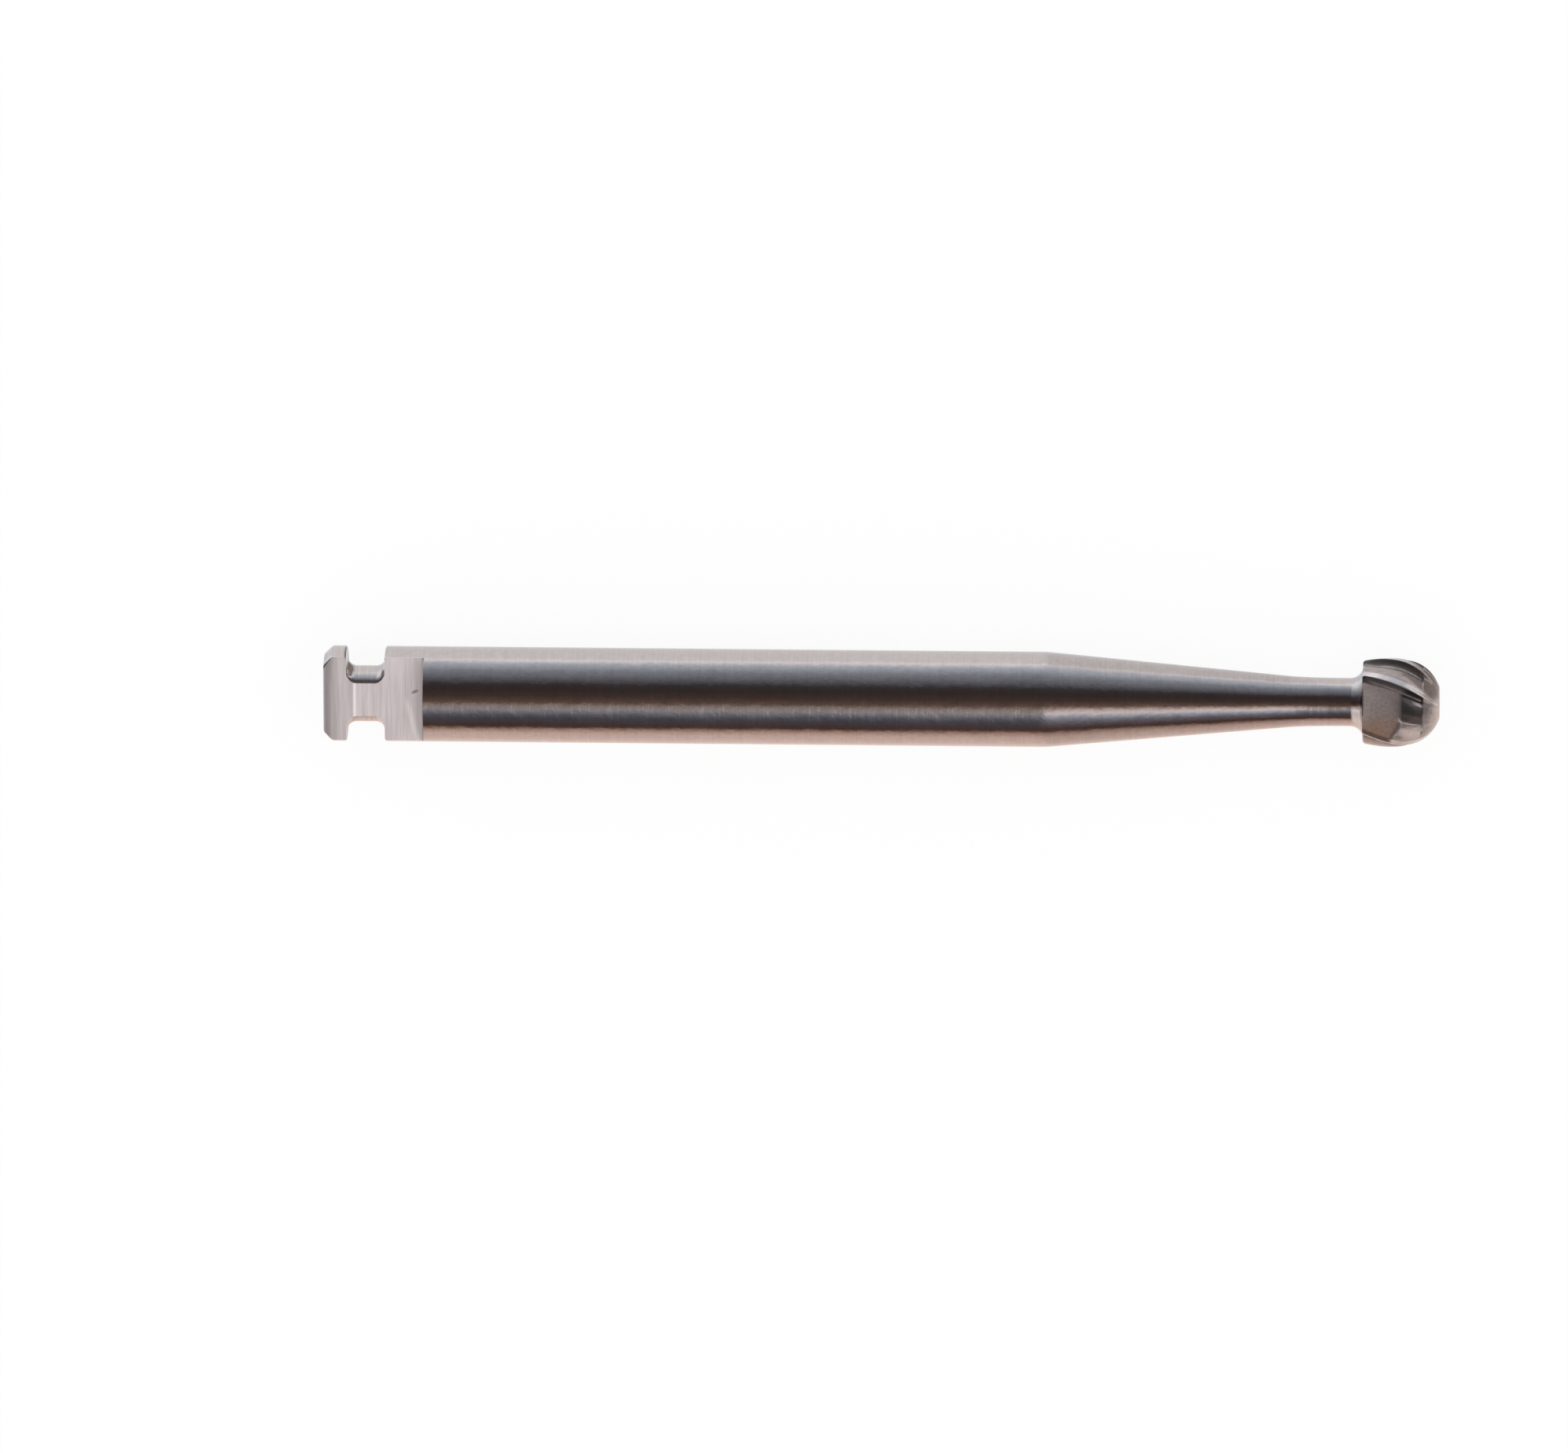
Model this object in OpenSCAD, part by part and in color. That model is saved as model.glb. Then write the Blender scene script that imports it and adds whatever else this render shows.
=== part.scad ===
// Round carbide burr on a right-angle latch shank, lying on a table with its drive flat up.
// Lengths run along X from the latch end. Z is up and the drive flat faces +Z.
// Angles round the axis are measured from +Z towards +Y.

/* [Shank] */
// Diameter of the shank
shank_d = 2.35; // [2.2:0.01:2.5]
// Length of the full-diameter shank, from the latch end to the taper
body_l = 17.8; // [12:0.1:24]
// Length of the taper from the shank down to the neck
taper_l = 6.4; // [3:0.1:10]
// Diameter of the neck
neck_d = 1.19; // [0.9:0.01:1.3]
// Length of the straight neck between the taper and the flare
neck_l = 1.08; // [0.6:0.01:4]
// Half the length of the soft bend where the taper runs into the neck
neck_bend_l = 0.45; // [0.1:0.01:0.55]
// Radius of the flare where the neck runs into the head
flare_r = 0.33; // [0.1:0.01:0.35]
// Angle that the flare turns through
flare_turn = 75; // [30:1:85]

/* [Latch] */
// Thickness of the disc at the latch end
disc_t = 0.56; // [0.4:0.01:0.9]
// Chamfer on the outer rim of the disc
disc_chamfer = 0.2; // [0.05:0.01:0.3]
// Width of the latch groove
groove_w = 0.95; // [0.6:0.01:1.3]
// Diameter at the bottom of the latch groove
groove_d = 1.38; // [1.2:0.01:1.7]
// Radius in the two corners of the groove
groove_corner_r = 0.24; // [0.03:0.01:0.28]
// Radius on the two outer edges of the groove
groove_edge_r = 0.05; // [0.01:0.01:0.08]
// Length of the drive flat, from the latch end
flat_l = 2.48; // [2.3:0.01:4]
// Height across the shank at the drive flat
flat_h = 1.7; // [1.6:0.01:2.1]

/* [Head] */
// Diameter over the cutting edges at the widest part
ball_d = 2.26; // [2.1:0.01:2.34]
// Diameter at the back face of the head
back_d = 2.04; // [1.9:0.01:2.1]
// Length from the back face to the widest part
back_l = 0.82; // [0.6:0.01:1.2]
// Diameter of the small flat on the tip
tip_d = 0.78; // [0.4:0.01:1]
// Chamfer round the back face
rim_chamfer = 0.04; // [0.01:0.01:0.06]

/* [Teeth] */
// Number of teeth
teeth = 8; // [6:1:10]
// Helix angle of the teeth
helix = 21.5; // [10:0.5:30]
// Angle from the drive flat to the first cutting edge, at the widest part
first_edge = 39; // [0:1:45]
// Depth of the flutes
flute_depth = 0.17; // [0.1:0.01:0.2]
// Depth of the flutes at the back face
flute_depth_back = 0.11; // [0.06:0.01:0.12]
// Length over which the flutes deepen from the back face
flute_deepen_l = 0.3; // [0.1:0.01:0.5]
// Length of the deep flutes in front of the widest part
flute_front_l = 0.69; // [0.5:0.01:0.75]
// Length of the step that ends each deep flute
flute_step_l = 0.04; // [0.02:0.01:0.08]
// Depth of the shallow run-out of each flute on the nose
runout_depth = 0.07; // [0.01:0.005:0.08]
// Width of the land behind each cutting edge
land_w = 0.147; // [0.08:0.001:0.2]
// Clearance angle of the land
land_clearance = 8; // [5:1:20]
// Width round the axis over which the face of a tooth leans forward
face_lean = 0.11; // [0.01:0.005:0.12]
// Width of the round at the foot of the face of a tooth
face_foot_w = 0.06; // [0.02:0.005:0.07]
// Roundness of the back of a tooth, where 1 falls off evenly and more falls off late
back_curve = 1.8; // [1:0.1:2.5]

/* [Broken tooth] */
// Length from the back face over which one tooth is gone
break_l = 0.93; // [0.7:0.01:1]
// Length of the break beside the land of the tooth below it
break_low_l = 0.66; // [0.5:0.01:0.68]
// Length of the step at the front end of the break
break_step_l = 0.12; // [0.04:0.01:0.14]
// Bulge of the broken surface above a straight line across it
break_bulge = 0.05; // [0:0.01:0.08]

/* [Hidden] */
steel = "silver";
carbide = "dimgray";
clear = 1;

shank_r = shank_d / 2;
neck_r = neck_d / 2;
groove_r = groove_d / 2;
ball_r = ball_d / 2;
back_r = back_d / 2;
flat_z = flat_h - shank_r;

flare_l = flare_r * sin(flare_turn);
neck_start = body_l + taper_l;
neck_end = neck_start + neck_l;
shank_l = neck_end + flare_l;
nose_l = sqrt(ball_r * ball_r - tip_d * tip_d / 4);
head_l = back_l + nose_l;
total_l = shank_l + head_l;

arc_steps = 8;

// Points on an arc in the half section, where a point is [radius, length]
function arc(centre, r, from, to) =
    [for (i = [0:arc_steps])
        let (a = from + (to - from) * i / arc_steps)
        centre + r * [cos(a), sin(a)]];

// A soft bend at corner b on the way from a to c
function bend(a, b, c) =
    [for (i = [0:arc_steps])
        let (t = i / arc_steps)
        (1 - t) * (1 - t) * a + 2 * t * (1 - t) * b + t * t * c];

// The half section of the shank, from the latch end to the head
groove_start = disc_t;
groove_end = disc_t + groove_w;
taper_slope = (shank_r - neck_r) / taper_l;
latch_outline = concat(
    [[0, 0], [shank_r - disc_chamfer, 0], [shank_r, disc_chamfer]],
    arc([shank_r - groove_edge_r, groove_start - groove_edge_r], groove_edge_r, 0, 90),
    arc([groove_r + groove_corner_r, groove_start + groove_corner_r], groove_corner_r, 270, 180),
    arc([groove_r + groove_corner_r, groove_end - groove_corner_r], groove_corner_r, 180, 90),
    arc([shank_r - groove_edge_r, groove_end + groove_edge_r], groove_edge_r, 270, 360)
);
neck_outline = concat(
    [[shank_r, body_l]],
    bend([neck_r + taper_slope * neck_bend_l, neck_start - neck_bend_l],
        [neck_r, neck_start],
        [neck_r, neck_start + neck_bend_l]),
    arc([neck_r + flare_r, neck_end], flare_r, 180, 180 - flare_turn),
    [[0, shank_l]]
);

// Steel shank: disc, latch groove and drive flat at one end, taper, neck and flare at the other
module shank() {
    color(steel)
    translate([-total_l / 2, 0, shank_r])
    difference() {
        rotate([0, 90, 0])
        rotate_extrude($fn = 96)
        polygon(concat(latch_outline, neck_outline));
        translate([-clear, -shank_d, flat_z])
        cube([flat_l + clear, 2 * shank_d, shank_d]);
    }
}

// Radius over the cutting edges, x from the back face: a gentle barrel and then a ball
function edge_radius(x) =
    x < back_l
        ? ball_r - (ball_r - back_r) * pow((back_l - x) / back_l, 2)
        : sqrt(ball_r * ball_r - pow(x - back_l, 2));

// Turn of the teeth round the axis at x, at a constant helix angle
degrees_per_radian = 180 / PI;
function turn(x) =
    let (latitude = asin((x - back_l) / ball_r))
    -tan(helix) * degrees_per_radian
        * (x < back_l ? (x - back_l) / ball_r : ln(tan(45 + latitude / 2)));

// Depth of the flutes at x: deepening from the back face, full, a step, and a shallow run-out
flute_end = back_l + flute_front_l;
function depth(x) =
    x > flute_end
        ? runout_depth * (head_l - x) / (head_l - flute_end)
        : flute_depth - (flute_depth - flute_depth_back) * max(0, 1 - x / flute_deepen_l);

// Angles across one tooth, measured back from its cutting edge
pitch = 360 / teeth;
land_a = land_w / ball_r * degrees_per_radian;
lean_a = face_lean / ball_r * degrees_per_radian;
foot_a = lean_a + face_foot_w / ball_r * degrees_per_radian;
back_steps = 5;
columns = back_steps + 4;

function polar(r, a) = r * [cos(a), sin(a)];

// Fall of the land behind a cutting edge, where the flutes are d deep
function land_fall(d) = min(land_w * tan(land_clearance), d / 2);

// One point of the back of a tooth, t of the way from its land down to the flute
function back_point(r, d, t) =
    [r - land_fall(d) - (d - land_fall(d)) * pow(t, back_curve), land_a + (pitch - foot_a - land_a) * t];

// Radius and angle of column i of a tooth: edge, land, back, foot and face
function tooth_point(r, d, i) =
    i == 0 ? [r, 0]
    : i == 1 ? [r - land_fall(d), land_a]
    : i < back_steps + 2 ? back_point(r, d, (i - 1) / back_steps)
    : i == back_steps + 2 ? [r - 0.93 * d, pitch - lean_a - 0.2 * (foot_a - lean_a)]
    : [r - d / 2, pitch - lean_a / 2];

// The tooth that is broken comes last round the axis, and the one below it just before
broken = teeth - 1;
below = teeth - 2;
break_from = land_a - pitch;
break_to = pitch - foot_a;

// Radius of the broken surface at angle a from the lost edge, straight across with a slight bulge
function break_radius(r, d, a) =
    let (
        p = polar(r - land_fall(d), break_from),
        q = polar(r - d, break_to),
        across = (q - p) / norm(q - p),
        height = p.x * across.y - p.y * across.x,
        s = (a - break_from) / (break_to - break_from)
    )
    abs(height / (cos(a) * across.y - sin(a) * across.x)) + break_bulge * 4 * s * (1 - s);

// Whether column i of tooth j lies in the break
function in_break(j, i) =
    (j == broken && i < back_steps + 2) || (j == below && i > 1);

// Where the break ends at column i of tooth j: level, then rounding back beside the tooth below
function break_end(j, i) =
    let (a = tooth_point(ball_r, flute_depth, i)[1])
    j == below ? break_low_l + (break_l - break_low_l) * sin(90 * max(0, a - land_a) / (pitch - land_a))
    : j == below - 1 ? break_l + (break_low_l - break_l) * a / pitch
    : break_l;

// Rings along the head: up to the break's step, then to the flutes' step, then over the nose
break_rings = 13;
flute_rings = 9;
nose_rings = 10;
function between(from, to, n) = [for (i = [0:n]) from + (to - from) * i / n];
nose_from = asin(flute_front_l / ball_r);
nose_to = asin(nose_l / ball_r);
rings = concat(
    [0],
    between(rim_chamfer, break_l - break_step_l / 2, break_rings),
    between(break_l + break_step_l / 2, flute_end - flute_step_l, flute_rings),
    [for (a = between(nose_from, nose_to, nose_rings)) back_l + ball_r * sin(a)]
);

// Ring k at column i of tooth j, drawn back where the break ends sooner
function ring_x(k, j, i) =
    let (x = rings[k], shift = break_end(j, i) - break_l)
    x + shift * (x < break_l ? x / break_l : (head_l - x) / (head_l - break_l));

function head_point(k, j, i) =
    let (
        x = ring_x(k, j, i),
        r = edge_radius(x) - (k == 0 ? rim_chamfer : 0),
        d = k > break_rings + flute_rings + 2 ? depth(max(x, flute_end + 0.001)) : depth(min(x, flute_end)),
        p = tooth_point(r, d, i),
        lost = in_break(j, i) && k <= break_rings + 1,
        from_lost_edge = p[1] + (j == below ? -pitch : 0),
        radius = lost ? break_radius(r, d, from_lost_edge) : p[0],
        a = first_edge + turn(x) + j * pitch + p[1]
    )
    [x, radius * sin(a), radius * cos(a)];

// Carbide head: one closed skin through all rings, with the back face and the tip flat
module head() {
    around = teeth * columns;
    last = len(rings) - 1;
    skin = [for (k = [0:last]) for (j = [0:teeth - 1]) for (i = [0:columns - 1]) head_point(k, j, i)];
    sides = [for (k = [0:last - 1]) for (c = [0:around - 1])
        let (
            a = k * around + c,
            b = k * around + (c + 1) % around
        )
        each [[a, b, b + around], [a, b + around, a + around]]];
    back_centre = len(skin);
    tip_centre = back_centre + 1;
    back = [for (c = [0:around - 1]) [back_centre, (c + 1) % around, c]];
    tip = [for (c = [0:around - 1]) [tip_centre, last * around + c, last * around + (c + 1) % around]];
    color(carbide)
    translate([shank_l - total_l / 2, 0, shank_r])
    polyhedron(
        points = concat(skin, [[0, 0, 0], [head_l, 0, 0]]),
        faces = concat(sides, back, tip)
    );
}

shank();
head();
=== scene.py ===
"""Looks of a round carbide burr: a ground steel latch shank with a fluted carbide head."""
import math

import bmesh
import bpy
from mathutils import Matrix, Vector


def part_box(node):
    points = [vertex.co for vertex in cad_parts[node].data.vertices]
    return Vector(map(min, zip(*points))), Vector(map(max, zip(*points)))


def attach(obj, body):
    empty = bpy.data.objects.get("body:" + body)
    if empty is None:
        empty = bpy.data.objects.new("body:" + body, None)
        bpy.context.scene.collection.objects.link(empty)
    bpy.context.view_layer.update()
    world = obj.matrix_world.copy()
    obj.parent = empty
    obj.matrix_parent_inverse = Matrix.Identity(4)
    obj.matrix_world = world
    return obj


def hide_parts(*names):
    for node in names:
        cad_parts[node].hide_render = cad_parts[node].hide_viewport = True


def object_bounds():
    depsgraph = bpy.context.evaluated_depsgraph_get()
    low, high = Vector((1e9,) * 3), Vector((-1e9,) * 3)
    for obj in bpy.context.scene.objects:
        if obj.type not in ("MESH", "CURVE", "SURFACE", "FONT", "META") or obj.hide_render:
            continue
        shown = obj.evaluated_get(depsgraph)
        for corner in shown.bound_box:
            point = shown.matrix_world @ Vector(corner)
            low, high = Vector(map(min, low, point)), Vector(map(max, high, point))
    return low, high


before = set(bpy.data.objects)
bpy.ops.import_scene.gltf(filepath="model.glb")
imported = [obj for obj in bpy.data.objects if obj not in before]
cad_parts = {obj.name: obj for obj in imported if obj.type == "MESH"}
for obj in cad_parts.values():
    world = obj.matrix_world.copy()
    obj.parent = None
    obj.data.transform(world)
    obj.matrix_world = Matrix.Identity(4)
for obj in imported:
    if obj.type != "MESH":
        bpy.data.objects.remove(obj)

MM = 0.001
cad_low, cad_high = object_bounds()
head_low, head_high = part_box("head")

# Shank sizes in millimetres, along X from the latch end
SHANK_R = (cad_high.z - cad_low.z) / MM / 2
BACK_FACE = (head_low.x - cad_low.x) / MM
BODY_L = 17.8
TAPER_L = 6.4
NECK_R = 0.595
NECK_L = 1.08
NECK_BEND_BEFORE = 0.45
NECK_BEND_AFTER = 1.0
TAPER_SOFTENING = 0.12
FLARE_R = 0.33
FLARE_TURN = math.radians(75)
DISC_T = 0.56
DISC_CHAMFER = 0.2
GROOVE_W = 0.95
GROOVE_R = 0.69
GROOVE_CORNER = 0.24
GROOVE_EDGE = 0.05
FLAT_L = 2.48
FLAT_Z = 0.525
FLAT_FOOT = 0.03

# Broken edges of the steel, too fine for the solids
EDGE_BREAK = 0.018
FLAT_EDGE = 0.02
GROOVE_FLAT_EDGE = 0.19
RIM_ROUND = 0.06

# Head sizes in millimetres, along X from the back face
BALL_R = 1.13
BACK_R = 1.02
BACK_L = 0.82
HEAD_L = (head_high.x - head_low.x) / MM
RIM_CHAMFER = 0.04
TEETH = 8
HELIX = math.radians(21.5)
FIRST_EDGE = math.radians(39)
FLUTE_DEPTH = 0.17
FLUTE_DEPTH_BACK = 0.11
FLUTE_DEEPEN_L = 0.3
FLUTE_FRONT_L = 0.69
FLUTE_STEP_L = 0.04
RUNOUT_DEPTH = 0.07
LAND_W = 0.147
LAND_CLEARANCE = math.radians(8)
FACE_LEAN = 0.11
FACE_FOOT = 0.06
BACK_CURVE = 1.8
BREAK_L = 0.93
BREAK_LOW_L = 0.66
BREAK_STEP_L = 0.12
BREAK_BULGE = 0.05
LAND_KEPT = 0.2

# The photograph's camera: above the burr, leaning towards +Y and a little towards the tip
CAMERA_DISTANCE = 900
CAMERA_LEAN = math.radians(15.4)
CAMERA_TILT = math.radians(2.5)
CAMERA_ROLL = math.radians(0.518)
AIM_ALONG = -2.4
AIM_ABOVE = -0.728
PHOTO_W = 1994
PIXELS_PER_MM = 51.63
SENSOR = 36


def link(obj):
    """Puts an object into the scene."""
    bpy.context.scene.collection.objects.link(obj)
    return obj


# Camera, floor and light

def make_camera():
    """The photograph's camera, far off and with a long lens."""
    lean = Vector((0, math.sin(CAMERA_LEAN), math.cos(CAMERA_LEAN)))
    back = lean * math.cos(CAMERA_TILT) + Vector((math.sin(CAMERA_TILT), 0, 0))
    above = Vector((0, math.cos(CAMERA_LEAN), -math.sin(CAMERA_LEAN)))
    right = above.cross(back).normalized()
    up = back.cross(right)
    turned_right = right * math.cos(CAMERA_ROLL) + up * math.sin(CAMERA_ROLL)
    turned_up = back.cross(turned_right)
    aim = Vector((AIM_ALONG, 0, SHANK_R)) + above * AIM_ABOVE
    data = bpy.data.cameras.new("camera")
    data.sensor_width = SENSOR
    data.lens = PIXELS_PER_MM * SENSOR * CAMERA_DISTANCE / PHOTO_W
    data.clip_start = 0.001
    data.clip_end = 10
    camera = link(bpy.data.objects.new("camera", data))
    axes = Matrix((turned_right, turned_up, back)).transposed()
    camera.matrix_world = Matrix.Translation((aim + back * CAMERA_DISTANCE) * MM) @ axes.to_4x4()
    bpy.context.scene.camera = camera


# Studio around the burr, as metal shows it: angle from the camera towards the photograph's top, and
# the colour there, for what lies above the burr, ahead of it, off its tip and off its latch end. The
# values come mostly from colours measured in the photograph, in linear light and divided by the
# steel's colour, and were then changed against renders
STUDIO = [
    (-180, (0.95, 0.80, 0.74)),
    (-163, (1.00, 0.80, 0.72)),
    (-108, (0.76, 0.55, 0.48)),
    (-97, (0.58, 0.39, 0.32)),
    (-90, (0.36, 0.23, 0.18)),
    (-84, (0.08, 0.04, 0.03)),
    (-60, (0.075, 0.07, 0.085)),
    (-52, (0.11, 0.11, 0.13)),
    (-44, (0.20, 0.20, 0.235)),
    (-36, (0.34, 0.31, 0.31)),
    (-26, (0.30, 0.24, 0.22)),
    (-19, (0.14, 0.09, 0.07)),
    (-5, (0.075, 0.047, 0.04)),
    (12, (0.046, 0.034, 0.032)),
    (25, (0.048, 0.04, 0.043)),
    (60, (0.29, 0.305, 0.355)),
    (80, (0.56, 0.60, 0.68)),
    (92, (1.06, 1.00, 1.02)),
    (98, (0.88, 0.82, 0.82)),
    (150, (0.80, 0.76, 0.76)),
    (180, (0.85, 0.90, 0.98)),
]
AHEAD = [
    (-180, (0.95, 0.80, 0.74)),
    (-60, (0.85, 0.68, 0.62)),
    (-40, (0.58, 0.45, 0.40)),
    (-22, (0.09, 0.07, 0.07)),
    (40, (0.07, 0.07, 0.08)),
    (66, (0.14, 0.14, 0.16)),
    (80, (0.42, 0.44, 0.50)),
    (92, (0.94, 0.90, 0.92)),
    (150, (0.80, 0.76, 0.76)),
    (180, (0.85, 0.90, 0.98)),
]
TIP_SIDE = [
    (-180, (1.00, 0.93, 0.91)),
    (-145, (0.90, 0.80, 0.78)),
    (-112, (0.44, 0.39, 0.38)),
    (-62, (0.24, 0.21, 0.21)),
    (20, (0.20, 0.18, 0.18)),
    (42, (0.50, 0.47, 0.47)),
    (56, (0.90, 0.86, 0.86)),
    (72, (0.90, 0.86, 0.86)),
    (84, (0.20, 0.11, 0.08)),
    (116, (0.27, 0.20, 0.18)),
    (164, (0.23, 0.17, 0.15)),
    (173, (0.78, 0.73, 0.72)),
    (180, (1.00, 0.93, 0.91)),
]
LATCH_SIDE = [
    (-180, (1.00, 0.82, 0.76)),
    (-120, (1.00, 0.76, 0.68)),
    (-90, (1.00, 0.82, 0.78)),
    (-50, (0.80, 0.73, 0.71)),
    (-40, (1.02, 0.94, 0.92)),
    (-22, (0.44, 0.33, 0.30)),
    (-15, (0.11, 0.07, 0.06)),
    (-7, (0.05, 0.022, 0.02)),
    (20, (0.05, 0.045, 0.052)),
    (50, (0.36, 0.38, 0.44)),
    (76, (0.92, 0.92, 0.96)),
    (90, (1.06, 1.06, 1.10)),
    (110, (0.78, 0.78, 0.83)),
    (180, (0.74, 0.74, 0.79)),
]

# How many times brighter the part above the burr is where the taper mirrors it, worked out from the
# photograph's light over a render's
TAPER_TONES = [
    (-180, 0.8), (-88, 0.8), (-76, 1.1), (-56, 2.5), (-34, 2.6), (-15, 1.2), (0, 1.0), (76, 1.0),
    (88, 0.8), (180, 0.8),
]

# Where one part of the studio goes over into the next, by how far a direction points to the tip
TAPER_FROM, TAPER_TO = -0.03, 0.08
AHEAD_FROM, AHEAD_TO = 0.2, 0.36
TIP_SIDE_FRONT, TIP_SIDE_REAR, TIP_SIDE_BLEND = 0.8, 0.15, 0.12
REAR_FROM, REAR_TO = math.radians(70), math.radians(110)
LATCH_SIDE_FROM, LATCH_SIDE_TO = -0.12, -0.45

# How the bands turn and close up towards the tip
TURN_AHEAD = math.radians(28)
NARROWING = 1.0


class Graph:
    """Adds nodes and links to one node tree in few words."""

    def __init__(self, tree):
        self.tree = tree
        tree.nodes.clear()

    def node(self, kind, inputs=None, **settings):
        """A node whose inputs are values or outputs of other nodes."""
        made = self.tree.nodes.new(kind)
        for name, value in settings.items():
            setattr(made, name, value)
        for name, value in (inputs or {}).items():
            if isinstance(value, bpy.types.NodeSocket):
                self.tree.links.new(value, made.inputs[name])
            else:
                made.inputs[name].default_value = value
        return made

    def math(self, operation, a, b=0.0, clamp=False):
        made = self.node("ShaderNodeMath", {0: a, 1: b}, operation=operation, use_clamp=clamp)
        return made.outputs[0]

    def vector(self, operation, a, b, output="Vector"):
        made = self.node("ShaderNodeVectorMath", {0: a, 1: b}, operation=operation)
        return made.outputs[output]

    def ramp(self, value, low, high, to_low=0.0, to_high=1.0, smooth=False):
        """The value moved from one range to another and kept inside it."""
        made = self.node(
            "ShaderNodeMapRange",
            {"Value": value, "From Min": low, "From Max": high, "To Min": to_low, "To Max": to_high},
            interpolation_type="SMOOTHSTEP" if smooth else "LINEAR",
        )
        return made.outputs["Result"]

    def mix(self, share, a, b):
        """A mix of two colours: a where the share is 0 and b where it is 1."""
        made = self.node("ShaderNodeMix", data_type="RGBA")
        for socket, value in zip((made.inputs[0], made.inputs[6], made.inputs[7]), (share, a, b)):
            if isinstance(value, bpy.types.NodeSocket):
                self.tree.links.new(value, socket)
            else:
                socket.default_value = value if isinstance(value, float) else (*value, 1.0)
        return made.outputs[2]

    def stops(self, value, stops):
        """Colour at a value from 0 to 1, from stops at such values."""
        made = self.node("ShaderNodeValToRGB", {0: value})
        elements = made.color_ramp.elements
        while len(elements) > 1:
            elements.remove(elements[0])
        elements[0].position = stops[0][0]
        elements[0].color = (*stops[0][1], 1)
        for position, colour in stops[1:]:
            elements.new(position).color = (*colour, 1)
        return made.outputs["Color"]

    def by_angle(self, angle, stops):
        """Colour at an angle in radians, from stops in degrees."""
        turn_share = self.ramp(angle, -math.pi, math.pi)
        return self.stops(turn_share, [((degrees + 180) / 360, colour) for degrees, colour in stops])


def make_world():
    """White to the camera and to matt surfaces; metal sees the studio's tones by angle."""
    world = bpy.data.worlds.new("studio")
    bpy.context.scene.world = world
    world.use_nodes = True
    world.cycles.sampling_method = "NONE"
    g = Graph(world.node_tree)
    direction = g.node("ShaderNodeTexCoord").outputs["Generated"]
    to_tip = g.node("ShaderNodeSeparateXYZ", {0: direction}).outputs["X"]
    sin_lean, cos_lean = math.sin(CAMERA_LEAN), math.cos(CAMERA_LEAN)
    upwards = g.vector("DOT_PRODUCT", direction, (0, cos_lean, -sin_lean), output="Value")
    backwards = g.vector("DOT_PRODUCT", direction, (0, sin_lean, cos_lean), output="Value")
    around = g.math("ARCTAN2", upwards, backwards)
    mirror = g.math("MULTIPLY", g.math("ARCTAN2", upwards, g.math("ADD", backwards, 1.0)), 2.0)
    ahead = g.math("POWER", g.math("MAXIMUM", to_tip, 0.0), 2.0)
    shifted = g.math("ADD", around, g.math("MULTIPLY", ahead, TURN_AHEAD))
    narrowed = g.math("MULTIPLY", shifted, g.ramp(ahead, 0, 1, 1, 1 + NARROWING))
    above = g.by_angle(narrowed, STUDIO)
    lift = g.by_angle(narrowed, [(degrees, (tone,) * 3) for degrees, tone in TAPER_TONES])
    front = g.by_angle(narrowed, AHEAD)
    off_tip = g.by_angle(around, TIP_SIDE)
    off_latch = g.by_angle(mirror, LATCH_SIDE)
    rear = g.ramp(around, REAR_FROM, REAR_TO)
    tip_side_from = g.ramp(rear, 0, 1, TIP_SIDE_FRONT, TIP_SIDE_REAR)
    tip_side_to = g.math("ADD", tip_side_from, TIP_SIDE_BLEND)
    studio = g.mix(g.ramp(to_tip, TAPER_FROM, TAPER_TO), above, g.vector("MULTIPLY", above, lift))
    studio = g.mix(g.ramp(to_tip, AHEAD_FROM, AHEAD_TO, smooth=True), studio, front)
    studio = g.mix(g.ramp(to_tip, tip_side_from, tip_side_to, smooth=True), studio, off_tip)
    studio = g.mix(g.ramp(to_tip, LATCH_SIDE_FROM, LATCH_SIDE_TO, smooth=True), studio, off_latch)
    glossy = g.node("ShaderNodeLightPath").outputs["Is Glossy Ray"]
    colour = g.mix(glossy, (1.0, 1.0, 1.0), studio)
    background = g.node("ShaderNodeBackground", {"Color": colour, "Strength": 1.0})
    g.node("ShaderNodeOutputWorld", {"Surface": background.outputs[0]})


FLOOR_HALF = 0.5
FLOOR_SHADING = 0.1


def make_floor():
    """White floor that keeps a soft contact shadow; metal looks through it to the studio."""
    mesh = bpy.data.meshes.new("floor")
    s = FLOOR_HALF
    mesh.from_pydata([(-s, -s, 0), (s, -s, 0), (s, s, 0), (-s, s, 0)], [], [(0, 1, 2, 3)])
    floor = link(bpy.data.objects.new("floor", mesh))
    material = bpy.data.materials.new("floor_white")
    material.use_nodes = True
    g = Graph(material.node_tree)
    shaded = g.node("ShaderNodeBsdfDiffuse", {"Color": (*[FLOOR_SHADING] * 3, 1)})
    glow = g.node("ShaderNodeEmission", {"Color": (1, 1, 1, 1), "Strength": 1 - FLOOR_SHADING})
    white = g.node("ShaderNodeAddShader", {0: shaded.outputs[0], 1: glow.outputs[0]})
    through = g.node("ShaderNodeBsdfTransparent")
    glossy = g.node("ShaderNodeLightPath").outputs["Is Glossy Ray"]
    surface = g.node("ShaderNodeMixShader", {0: glossy, 1: white.outputs[0], 2: through.outputs[0]})
    g.node("ShaderNodeOutputMaterial", {"Surface": surface.outputs[0]})
    mesh.materials.append(material)


# Steel shank

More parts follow.
